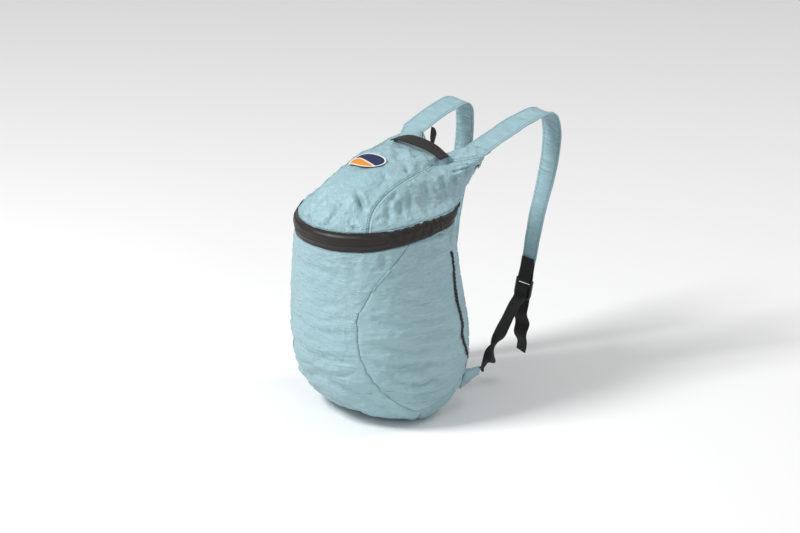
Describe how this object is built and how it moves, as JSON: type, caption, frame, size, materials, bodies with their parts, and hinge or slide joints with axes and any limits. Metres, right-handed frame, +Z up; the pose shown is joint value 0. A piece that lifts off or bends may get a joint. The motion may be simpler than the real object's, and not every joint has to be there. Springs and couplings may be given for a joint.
{
  "type": "packable backpack",
  "caption": "Soft packable daypack of thin crinkled nylon with a curved front zip under a sloping hood, a haul loop and two cloth shoulder straps.",
  "frame": {"origin": "midway between the undersides of the two strap crowns, where the wearer's shoulders carry the bag", "axes": "+Z up as worn, -Y towards the front of the bag, +Y towards the wearer's back and shoulders, +X the bag's own left side"},
  "size_m": [0.2696, 0.4408, 0.4335],
  "materials": {
    "nylon_cloth": "crinkled, slightly glossy light blue nylon",
    "black_webbing": "matt woven black",
    "black_plastic": "moulded, satin black",
    "badge_cloth": "woven cloth with a merrowed edge"
  },
  "bodies": {
    "root": {"front_panel": "nylon_cloth", "side_panel_left": "nylon_cloth", "side_panel_right": "nylon_cloth", "back_panel": "nylon_cloth", "top_panel": "nylon_cloth", "hood_side_left": "nylon_cloth", "hood_side_right": "nylon_cloth", "zip_tape": "black_webbing", "zip_slider": "black_plastic", "shoulder_strap_left": "nylon_cloth", "shoulder_strap_right": "nylon_cloth", "strap_end_tab_left": "black_webbing", "strap_end_tab_right": "black_webbing", "ladder_lock_left": "black_plastic", "ladder_lock_right": "black_plastic", "lower_webbing_left": "black_webbing", "lower_webbing_right": "black_webbing", "corner_tab_left": "nylon_cloth", "corner_tab_right": "nylon_cloth", "pocket_edge_left": "black_webbing", "pocket_edge_right": "black_webbing", "haul_loop": "black_webbing", "hanging_loop": "black_webbing", "badge": "badge_cloth"}
  },
  "joints": []
}
